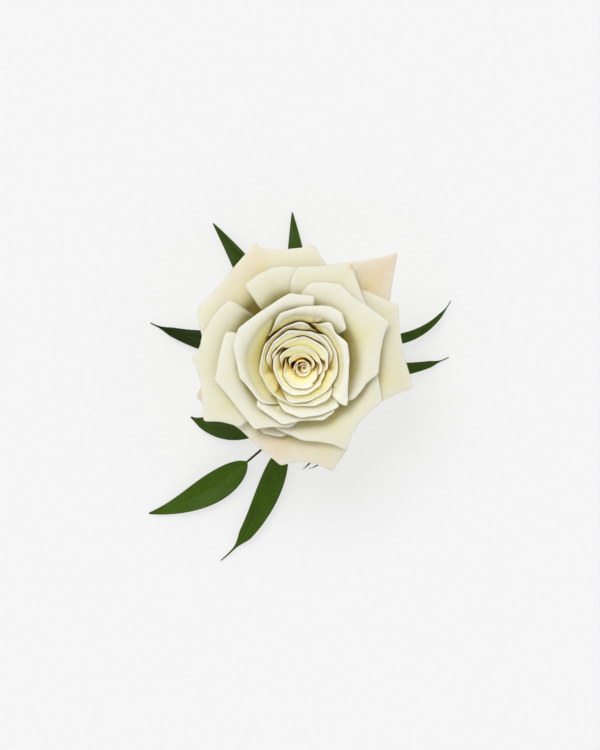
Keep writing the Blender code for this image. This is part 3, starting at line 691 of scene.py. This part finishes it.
class Petal:
    """A part of one sheet round the rose axis, out to its margin."""

    def __init__(self, name):
        self.name = name
        self.layer, self.crests, corners = PETALS[name]
        self.size = self.crests[1]
        height = crest_height(self.size)
        small = self.size < SMALL
        if small:
            heart = Vector((0.0, axis_y(height)))
            corners = (turned(corners[0], heart, -TAIL), *corners, turned(corners[-1], heart, TAIL))
        angles = [math.atan2(y - axis_y(height), x) for x, y in corners]
        self.first = angles[0]
        self.span = sum((after - before) % math.tau for before, after in zip(angles, angles[1:]))
        points, self.run, apart = fine_margin(corners, margin_step(self.size), 14 if small else 2)
        self.rims = [self.rim(point.x, point.y) for point in points]
        if small:
            self.rims = [(angle, crest + LIP_TRIM * (radius - crest), radius)
                         for angle, crest, radius in self.rims]
            shifts = np.array([crest for _, crest, _ in self.rims])
            ends = max(1, len(shifts) // 6)
            self.crests = (float(shifts[:ends].mean()), float(np.median(shifts)),
                           float(shifts[-ends:].mean()))
        starts, ends = TUCKED_ENDS.get(name, (6.0, 6.0) if small else (8.0, 8.0))
        self.fulls = [fullness(s, starts) * fullness(self.run[-1] - s, ends) for s in self.run]
        self.rolls = [(0.2 if small else 0.45) * smooth(away / 3.5) for away in apart]
        self.turns = np.array([angle - self.first for angle, _, _ in self.rims])
        self.tuck = DEEP_TUCK if small else TUCK
        self.edges, self.edge_heights = [], []
        for (_, crest, radius), full in zip(self.rims, self.fulls):
            lip = (radius - crest) * max(full, THINNEST_LIP)
            top = bowl_point(self.layer, crest, 1.0 - self.tuck * (1.0 - full))
            self.edges.append(top.x + lip)
            self.edge_heights.append(top.y + lip_height(crest, lip))
        self.shelves = None

    def crest_at(self, angle):
        """The crest radius in a direction between the petal's ends."""
        return across(self.crests, (angle - self.first) / self.span)

    def rim(self, x, y):
        """(angle, crest radius, radius) of the margin where its plan is at (x, y)."""
        height = crest_height(self.size)
        for _ in range(8):
            down = y - axis_y(height)
            radius = math.hypot(x, down)
            angle = self.first + (math.atan2(down, x) - self.first + 0.5) % math.tau - 0.5
            crest = min(self.crest_at(angle), radius - MIN_LIP)
            height = crest_height(crest) + lip_height(crest, radius - crest)
        return angle, crest, radius

    def turn(self, angle):
        """How far that direction is round from the petal's first end."""
        return (angle - self.first + END_REACH) % math.tau - END_REACH

    def margin_at(self, angle):
        """(radius, height) of the margin in that direction, or None beyond the petal's ends."""
        if self.name in SCROLLS:
            _, _, _, last, low, _, middle = SCROLLS[self.name]
            x, y = middle[0], middle[1] - axis_y(low)
            along = x * math.cos(angle) + y * math.sin(angle)
            aside = y * math.cos(angle) - x * math.sin(angle)
            return along + math.sqrt(max(0.0, (last + SCROLL_FLARE) ** 2 - aside * aside)), low
        turn = self.turn(angle)
        if turn > self.span + END_REACH:
            return None
        return (float(np.interp(turn, self.turns, self.edges)),
                float(np.interp(turn, self.turns, self.edge_heights)))

    def trim(self, others):
        """Draw the lip in where the crest of a petal outside this one stands in its way."""
        for column, (angle, crest, radius) in enumerate(self.rims):
            room = min([other.crest_at_turn(angle) for other in others if other.layer > self.layer],
                       default=FAR)
            if room - LIP_ROOM < radius:
                self.rims[column] = (angle, crest, max(room - LIP_ROOM, crest + 0.15))

    def find_shelves(self, others):
        """Where the wall meets the margins of the petals inside it: (radius, height) and how surely."""
        found = []
        for angle, crest, _ in self.rims:
            own = self.crest_at(angle)
            held = []
            for other in others:
                if other is self or other.crest_at_turn(angle) >= own:
                    continue
                margin = other.margin_at(angle)
                if margin:
                    held.append(margin)
            found.append(max(held) if held else (0.0, 0.0))
        radii = np.array([radius for radius, _ in found])
        heights = np.array([height for _, height in found])
        window = max(1, int(1.2 / margin_step(self.size)))
        padded = np.pad(radii, window, mode="edge")
        widest = np.max([padded[k:k + len(radii)] for k in range(2 * window + 1)], axis=0)
        kernel = np.ones(2 * window + 1) / (2 * window + 1)

        def evened(values):
            return np.convolve(np.pad(values, window, mode="edge"), kernel, mode="valid")

        even = evened(widest)
        crests = np.array([self.crest_at(angle) for angle, _, _ in self.rims])
        sure = np.clip((crests - even - SHELF_GAP) / 0.8, 0.0, 1.0) * (radii > 0)
        self.shelves = list(zip(even + SHELF_GAP, evened(heights), evened(sure) * np.array(self.fulls)))

    def crest_at_turn(self, angle):
        """The crest radius in that direction, or a very large one beyond the petal's ends."""
        if self.name in SCROLLS:
            return self.size
        turn = self.turn(angle)
        if turn > self.span + END_REACH:
            return FAR
        return across(self.crests, min(max(turn / self.span, 0.0), 1.0))

    def wall(self, crest, t, shelf):
        """(radius, height) up the wall, which bends in to the margins of the petals inside it."""
        plain = bowl_point(self.layer, crest, t)
        radius, height, sure = shelf
        if sure <= 0.0:
            return plain
        top = bowl_point(self.layer, crest, 1.0)
        height = min(height, top.y - 0.9 * (crest - radius))
        knee = Vector((radius, height))
        if t < KNEE:
            s = t / KNEE
            base = bowl_point(self.layer, crest, 0.0)
            reach = (knee - base).length
            first = base + claw_direction(self.layer) * reach * 0.3
            last = knee - Vector((0.2, 1.0)).normalized() * reach * 0.4
            bent = cubic(base, first, last, knee, s)
        else:
            s = (t - KNEE) / (1.0 - KNEE)
            reach = (top - knee).length
            slope = crest_slope(crest)
            first = knee + Vector((0.2, 1.0)).normalized() * reach * 0.3
            last = top - Vector((1.0, slope)).normalized() * reach * 0.3
            bent = cubic(knee, first, last, top, s)
        return plain.lerp(bent, sure)

    def point(self, column, t, lip):
        """t runs from hip to crest, then lip from crest to margin, which rolls under."""
        angle, crest, radius = self.rims[column]
        full, roll = self.fulls[column], self.rolls[column]
        claw = HEART_CLAW if self.size < SMALL else CLAW
        spread = claw + (1.0 - claw) * smooth(t / 0.55)
        middle = self.first + self.span / 2
        angle = middle + (angle - middle) * spread
        crest = min(self.crest_at(angle), crest) if t == 1.0 else self.crest_at(angle)
        tucked = t * (1.0 - self.tuck * (1.0 - full))
        over, height = self.wall(crest, tucked, self.shelves[column])
        if lip > 0.0:
            whole = (radius - crest) * max(full, THINNEST_LIP)
            reach = whole * lip
            over += reach
            height += lip_height(crest, reach)
            zone = min(0.6, 2.4 / max(whole, 0.1))
            curl = max(0.0, (lip - 1.0 + zone) / zone)
            height -= roll * curl * curl * full
        return Vector((over * math.cos(angle), over * math.sin(angle) + axis_y(height), height))


def turned(corner, heart, angle):
    """The corner, carried on round the heart of the bloom and a little inwards."""
    away = Vector(corner) - heart
    return tuple(heart + Vector((away.x * math.cos(angle) - away.y * math.sin(angle),
                                 away.x * math.sin(angle) + away.y * math.cos(angle))) * 0.97)


def fullness(away, tuck):
    """0 at a tucked end, rising in a quarter circle to 1 where it is tuck mm or more away."""
    if tuck > LONG_TUCK:
        return THINNEST_LIP + (1.0 - THINNEST_LIP) * smooth(away / tuck)
    near = max(0.0, 1.0 - away / tuck)
    return math.sqrt(1.0 - near * near)


def warped(point):
    """A slow wave through the whole bloom, so that no sheet is perfectly even and none cross."""
    wave = noise.noise_vector(point / 8.5) * 0.32 + noise.noise_vector(point / 3.4) * 0.07
    fade = smooth((point.z - 20.0) / 14.0)
    return point + wave * fade


def build_petal(petal, look):
    """One sheet from the hip to the margin, with the values that its colour follows."""
    name, size = petal.name, petal.size
    lips = SMALL_LIP_ROWS if size < SMALL else LIP_ROWS
    stations = [(t, 0.0) for t in WALL_ROWS] + [(1.0, lip) for lip in lips]
    columns = len(petal.rims)
    grid = np.array([[tuple(warped(petal.point(column, t, lip))) for column in range(columns)]
                     for t, lip in stations])
    run = np.array(petal.run)
    down = np.linalg.norm(np.diff(grid, axis=0), axis=2)
    length = np.concatenate([np.zeros((1, columns)), np.cumsum(down, axis=0)])
    edge = np.minimum(length[-1] - length, np.minimum(run, run[-1] - run)[None, :])
    taper = np.clip(edge / EDGE_TAPER, 0.0, 1.0)
    thickness = PETAL_THICKNESS * (0.3 + 0.7 * np.sqrt(1.0 - (1.0 - taper) ** 2))
    below = np.maximum(length[len(WALL_ROWS) - 1] - length, 0.0)
    lip_share = np.array([[lip] * columns for _, lip in stations])
    # rise says how far down the bowl a point lies; on the pale petals it darkens the colour there, partly
    # painted shade.
    if size < CLOSED:
        rise = np.exp(-below / (WALL_FADE if size < SMALL else RING_FADE)) + lip_share
    else:
        rise = 2.0 / (1.0 + (length[-1] - length) / MARGIN_FADE)
    warm = min(1.0, max(0.0, 1.0 - (size - 8.0) / 16.0))
    blush = np.zeros(rise.shape)
    for owner, x, y, radius, strength in MARKS:
        if owner == name:
            away = np.hypot(grid[..., 0] - x, grid[..., 1] - y) / radius
            blush += strength * np.exp(-away ** 2 * 1.5)
    age = 0.25 + 0.75 * (size > 20)
    uv = np.stack([np.broadcast_to(run, rise.shape), length], axis=-1)
    values = {"rise": rise, "warm": warm, "blush": blush, "edge": np.clip(edge, 0, 5), "age": age}
    sheet_piece(name, grid, thickness, uv, values, look)


def build_scroll(name, look):
    """One of the two innermost petals, rolled up round the heart of the bloom."""
    start, turns, first, last, low, high, middle = SCROLLS[name]
    foot = HIP_HEIGHT + HIP_RISE + SCROLL_FOOT
    rows, columns = 26, 120

    def place(t, s):
        angle = start + math.tau * turns * s
        crest = first + (last - first) * s
        top = low + (high - low) * s
        top = top - 0.5 * math.exp(-(s / 0.06) ** 2) - 0.9 * math.exp(-((1 - s) / 0.08) ** 2)
        top += 0.25 * math.sin(s * 9.0 + first)
        flare = SCROLL_FLARE * smooth((t - 0.93) / 0.07) + 0.25 * first * (1.0 - t)
        radius = crest * (0.3 + 0.7 * t ** 1.3) + flare
        height = foot + (top - foot) * t
        x = middle[0] * t + radius * math.cos(angle)
        y = (middle[1] - axis_y(top)) * t + radius * math.sin(angle) + axis_y(height)
        rise = math.exp(-(1.0 - t) * 20.0 / WALL_FADE) + 0.35 * smooth((t - 0.9) / 0.1)
        return x, y, height, crest * angle, height, rise

    grid = grid_of(rows, columns, place)
    edge = np.minimum(np.linspace(20.0, 0.0, rows)[:, None], from_ends(columns) * 0.15)
    thickness = SCROLL_THICKNESS * (0.35 + 0.65 * np.clip(edge / 0.4, 0.0, 1.0))
    thickness = thickness * np.linspace(0.4, 1.0, rows)[:, None]
    values = {"rise": grid[..., 5], "warm": 1.0, "blush": 0.0, "edge": np.clip(edge, 0, 5), "age": 0.2}
    sheet_piece(name, grid[..., :3], thickness, grid[..., 3:5], values, look)


def build_hip(look):
    """The swollen cup under the petals and its dome, which the petals grow from."""
    profile = [(0.3, NECK_HEIGHT), (NECK_RADIUS, NECK_HEIGHT), (NECK_RADIUS + 0.5, NECK_HEIGHT + 0.8),
               (NECK_RADIUS + 1.4, NECK_HEIGHT + 2.0), (HIP_RADIUS - 0.8, HIP_HEIGHT - 3.4),
               (HIP_RADIUS - 0.2, HIP_HEIGHT - 1.4), (HIP_RADIUS, HIP_HEIGHT)]
    for degrees in range(8, 90, 9):
        polar = math.radians(degrees)
        profile.append((HIP_RADIUS * math.cos(polar), HIP_HEIGHT + HIP_RISE * math.sin(polar)))
    sides = 64
    rings, uv = [], []
    for radius, height in profile:
        ring = []
        for k in range(sides):
            angle = math.tau * k / sides
            ribbed = radius - 0.12 * (radius > 1.0) * (0.5 + 0.5 * math.cos(angle * SEPAL_COUNT * 2))
            ring.append((ribbed * math.cos(angle), ribbed * math.sin(angle) + axis_y(height), height))
            uv.append((angle * HIP_RADIUS, height))
        rings.append(ring)
    # The dome is painted pale amber: partly its own paler colour, partly painted glow where it lies in shade
    # between the petals.
    pale = [smooth((height - HIP_HEIGHT) / 3.0) for _, height in uv]
    tube_piece("hip", rings, uv, {"cut": pale}, look)


def build_sepal(name, look, angle):
    """One sepal, which leaves the hip under the petals and curls down to a fine point."""
    rows, columns = 40, 13

    def place(t, s):
        s = 2.0 * s - 1.0
        radius = HIP_RADIUS + 0.7 + SEPAL_LENGTH * 0.8 * t
        half = SEPAL_WIDTH / 2 * (1.0 - t) ** 0.7 * (0.7 + 0.9 * t) + 0.12
        half += 0.12 * math.sin(t * 40.0) * (1.0 - t)
        x = radius * math.cos(angle) - s * half * math.sin(angle)
        y = radius * math.sin(angle) + s * half * math.cos(angle)
        z = 13.4 + 1.6 * t - 8.0 * t * t
        z = z - 0.5 * abs(s) * half / SEPAL_WIDTH - 0.15 * math.exp(-(s * 6.0) ** 2)
        return x, y + axis_y(z), z, s * half, radius

    grid = grid_of(rows, columns, place)
    thickness = np.full((rows, columns), SEPAL_THICKNESS)
    thickness[:, 0] = thickness[:, -1] = thickness[-1, :] = 0.16
    sheet_piece(name, grid[..., :3], thickness, grid[..., 3:], {"cut": 0.0}, look)


def bezier(points, t):
    """A point on the curve with those control points."""
    points = [Vector(point) for point in points]
    while len(points) > 1:
        points = [a.lerp(b, t) for a, b in zip(points, points[1:])]
    return points[0]


def blade_half_width(t, petiole, tail):
    """Half the width of a leaf, as a share of its widest half."""
    if t < petiole:
        return 0.07
    s = (t - petiole) / (1.0 - petiole)
    drawn = 1.0 - 0.82 * smooth((t - tail + 0.07) / 0.14)
    return max(0.1 * (1.0 - s), drawn * (math.sin(math.pi * s ** 0.72)) ** 0.9 * (1.0 - 0.25 * s)) + 0.035


def build_leaf(name, look):
    """One leaf, folded along its rib, with a stalk that joins the nearest sprig stem."""
    width, fold, roll, midrib = LEAVES[name]
    petiole = PETIOLES.get(name, 0.0)
    rows, columns = 90, 25
    twist, twist_from, twist_to = TWISTS.get(name, (0.0, 0.0, 1.0))
    grid, uv, rib, tip, stalk = [], [], [], [], []
    base = Vector(midrib[0])
    stem_point = min((spline(route, k / 80) for route in SPRIGS.values() for k in range(81)),
                     key=lambda point: (point - base).length)
    join = stem_point + (base - stem_point).normalized() * SPRIG_RADIUS * 0.6
    run, before = 0.0, join
    for row in range(-STALK_ROWS, rows):
        t = max(row, 0) / (rows - 1)
        centre = bezier(midrib, t) if row >= 0 else join.lerp(base, 1.0 + row / STALK_ROWS)
        run += (centre - before).length
        before = centre
        ahead = bezier(midrib, min(t + 0.02, 1.0)) - bezier(midrib, max(t - 0.02, 0.0))
        side = Vector((ahead.y, -ahead.x, 0.0)).normalized()
        up = side.cross(ahead).normalized()
        half = max(blade_half_width(t, petiole, TAILS.get(name, 2.0)) * width / 2,
                   STALK_HALF_WIDTH * (1.0 - smooth((t - 0.02) / 0.06)))
        line = []
        for column in range(columns):
            s = 2.0 * column / (columns - 1) - 1.0
            bent = math.radians(fold) * math.tanh(s * 5.0)
            eased = 1.0 - smooth((t - twist_from) / (twist_to - twist_from))
            tilt = math.radians(roll + twist * eased) + bent
            point = centre + side * (s * half * math.cos(tilt)) + up * (s * half * math.sin(tilt))
            wave = noise.noise(Vector((s * 1.5, run / 7.0, width * 3.0)))
            point += up * wave * 0.5 * min(1.0, half / 3.0) * abs(s)
            point.z = max(point.z, REST_HEIGHT)
            line.append(tuple(point))
            uv.append((s, run))
            rib.append(abs(s * half))
            tip.append(t)
            stalk.append(1.0 - smooth((t - petiole * 0.85) / 0.06))
        grid.append(line)
    thin = 0.35 + 0.65 * np.clip(from_ends(columns) / 2.0, 0, 1)
    thickness = LEAF_THICKNESS * np.tile(thin, (rows + STALK_ROWS, 1))
    values = {"rib": rib, "tip": tip, "petiole": stalk, "shade": SHADES[name]}
    sheet_piece(name, grid, thickness, uv, values, look, flip=True)


# ---------------------------------------------------------------- stems and tape

def spline(route, t):
    """A point on the quadratic B-spline with clamped ends that a stem follows."""
    spans = len(route) - 2
    knots = [0.0] * 3 + [float(k) for k in range(1, spans)] + [float(spans)] * 3
    place = min(max(t, 0.0), 1.0) * spans
    span = min(int(place), spans - 1) + 2
    held = [Vector(route[k]) for k in range(span - 2, span + 1)]
    for level in (1, 2):
        for k in range(2, level - 1, -1):
            low, high = knots[span - 2 + k], knots[span + 1 + k - level]
            share = (place - low) / (high - low)
            held[k] = held[k - 1].lerp(held[k], share)
    return held[2]


def build_stem(name, look, radius, route):
    """A round stem along the route, cut straight at its far end."""
    rings_count, sides = 110, 28
    rings, uv, cut = [], [], []
    run, before = 0.0, Vector(route[0])
    frame_side = Vector((1.0, 0.0, 0.0))
    for k in range(rings_count):
        t = k / (rings_count - 1)
        centre = spline(route, t)
        run += (centre - before).length
        before = centre
        ahead = (spline(route, t + 0.01) - spline(route, t - 0.01)).normalized()
        frame_side = (frame_side - ahead * frame_side.dot(ahead)).normalized()
        other = ahead.cross(frame_side)
        wide = radius * (0.97 + 0.03 * noise.noise(Vector((run / 4.0, radius, 0.0))))
        ring = []
        for j in range(sides):
            angle = math.tau * j / sides
            ring.append(tuple(centre + (frame_side * math.cos(angle) + other * math.sin(angle)) * wide))
            uv.append((angle * radius, run))
            cut.append(float(k == rings_count - 1))
        rings.append(ring)
    tube_piece(name, rings, uv, {"cut": cut}, look)


def build_tape(look):
    """A flattened sleeve whose turns lap over each other at a slant."""
    rows, columns = 90, 97
    wide, high = TAPE_HALF_WIDTH - TAPE_THICKNESS / 2, STEM_HEIGHT - TAPE_THICKNESS / 2
    outer, inner, uv, seam = [], [], [], []
    for row in range(rows):
        t = row / (rows - 1)
        for column in range(columns - 1):
            angle = math.tau * column / (columns - 1)
            lap = (t * TAPE_TURNS + angle / math.tau) % 1.0
            grow = TAPE_THICKNESS / 2 + TAPE_LAP * (lap - 1.0)
            x, z = math.cos(angle), math.sin(angle)
            y = TAPE_MIDDLE_Y + TAPE_LENGTH * (t - 0.5)
            outer.append((x * (wide + grow), y, STEM_HEIGHT + z * (high + grow)))
            inner.append((x * (wide - TAPE_INNER), y, STEM_HEIGHT + z * (high - TAPE_INNER)))
            uv.append((angle * TAPE_HALF_WIDTH, t * TAPE_LENGTH))
            seam.append(min(lap, 1.0 - lap))
    count, sides = rows * (columns - 1), columns - 1
    faces = []
    for r in range(rows - 1):
        for s, t in around(sides):
            a, b, c, d = r * sides + s, r * sides + t, (r + 1) * sides + t, (r + 1) * sides + s
            faces.append([d, c, b, a])
            faces.append([a + count, b + count, c + count, d + count])
    top = (rows - 1) * sides
    for s, t in around(sides):
        faces.append([s, t, t + count, s + count])
        faces.append([top + t, top + s, top + s + count, top + t + count])
    piece("floral_tape", outer + inner, faces, uv + uv, {"seam": seam + seam}, look)


# ---------------------------------------------------------------- assembly

white = petal_look("petal", (0.80, 0.50, 0.30, 1.0), 0.0, 0.00016)
guard = petal_look("guard_petal", (0.80, 0.56, 0.45, 1.0), 0.08, 0.00022)
leaf = leaf_look()
stem = green_look("stem", (0.05, 0.10, 0.012), (0.10, 0.18, 0.03), (0.17, 0.26, 0.06), 0.42)
sprig = green_look("sprig", (0.04, 0.085, 0.008), (0.075, 0.14, 0.018), (0.13, 0.20, 0.04), 0.4)
sepal = green_look("sepal", (0.07, 0.13, 0.02), (0.12, 0.21, 0.045), (0.20, 0.30, 0.09), 0.5)
# The hip's pale amber dome is partly painted glow.
hip = green_look("hip", (0.07, 0.13, 0.02), (0.12, 0.21, 0.045), (0.20, 0.30, 0.09), 0.5, (0.90, 0.56, 0.14))
tape = tape_look()

petals = [Petal(petal_name) for petal_name in PETALS]
for petal in petals:
    if petal.size < SMALL:
        petal.trim(petals)
for petal in petals:
    petal.find_shelves(petals if petal.size < CLOSED else [])
for petal in petals:
    if petal.name in SCROLLS:
        build_scroll(petal.name, white)
    else:
        build_petal(petal, guard if petal.name in GUARDS else white)
build_hip(hip)
for number in range(SEPAL_COUNT):
    build_sepal(f"sepal_{number + 1}", sepal, math.tau * (number + 0.5) / SEPAL_COUNT)
build_stem("rose_stem", stem, STEM_RADIUS, (
    (0.0, axis_y(NECK_HEIGHT), NECK_HEIGHT - GAP),
    (0.0, axis_y(NECK_HEIGHT), 6.4),
    (0.0, axis_y(NECK_HEIGHT) - 1.6, STEM_HEIGHT),
    (0.0, 5.0, STEM_HEIGHT),
    (0.0, STEM_END_Y, STEM_HEIGHT),
))
for stem_name, route in SPRIGS.items():
    build_stem(stem_name, sprig, SPRIG_RADIUS, route)
build_tape(tape)
for leaf_name in LEAVES:
    build_leaf(leaf_name, leaf)


# ---------------------------------------------------------------- studio

def floor_look():
    """Plain pale card, which glows a little so that it stays as light as the room."""
    look = Look("floor", Specular_IOR_Level=0.1)
    places = look.places()
    grain = look.noise(places, 400.0, 2.0)
    look.shader.inputs["Emission Color"].default_value = (1.0, 1.0, 1.0, 1.0)
    look.shader.inputs["Emission Strength"].default_value = 0.64
    colour = look.ramp(grain, [(0.3, (0.275, 0.275, 0.275)), (0.7, (0.285, 0.285, 0.285))])
    roughness = look.grey_ramp(grain, [(0.3, 0.85), (0.7, 0.9)])
    return look.finish(colour, roughness, look.bump(grain, 0.02, 0.0001))


floor_mesh = bpy.data.meshes.new("floor")
floor_mesh.from_pydata([(-3, -3, 0), (3, -3, 0), (3, 3, 0), (-3, 3, 0)], [], [(0, 1, 2, 3)])
floor_mesh.materials.append(floor_look())
floor = bpy.data.objects.new("floor", floor_mesh)
floor.location.z = -0.0001
bpy.context.scene.collection.objects.link(floor)


def studio_world():
    """A soft white room, darker straight overhead where the camera hangs."""
    world = bpy.data.worlds.new("studio")
    world.use_nodes = True
    nodes, links = world.node_tree.nodes, world.node_tree.links
    way = nodes.new("ShaderNodeTexCoord")
    parts = nodes.new("ShaderNodeSeparateXYZ")
    ramp = nodes.new("ShaderNodeValToRGB")
    links.new(way.outputs["Generated"], parts.inputs[0])
    links.new(parts.outputs["Z"], ramp.inputs[0])
    set_stops(ramp.color_ramp, greys([(0.0, 0.75), (0.45, 0.80), (0.80, 0.95), (0.93, 0.35), (0.97, 0.12)]))
    links.new(ramp.outputs[0], nodes["Background"].inputs[0])
    bpy.context.scene.world = world


studio_world()
key_light = bpy.data.lights.new("key", "SUN")
key_light.angle = math.radians(KEY_SPREAD)
key_light.energy = 1.0
key = bpy.data.objects.new("key", key_light)
key.rotation_mode = "QUATERNION"
key.rotation_quaternion = (-Vector(KEY_PLACE)).to_track_quat("-Z", "Y")
bpy.context.scene.collection.objects.link(key)

camera_data = bpy.data.cameras.new("camera")
camera_data.sensor_fit = "VERTICAL"
camera_data.sensor_height = SENSOR
camera_data.lens = SENSOR * VIEW_DISTANCE / VIEW_HEIGHT
camera = bpy.data.objects.new("camera", camera_data)
camera.location = Vector(VIEW_MIDDLE) + Vector((0.0, 0.0, VIEW_DISTANCE))
bpy.context.scene.collection.objects.link(camera)
bpy.context.scene.camera = camera
bpy.context.scene.view_settings.view_transform = "Standard"
bpy.context.scene.cycles.max_bounces = 24
bpy.context.scene.cycles.diffuse_bounces = 20
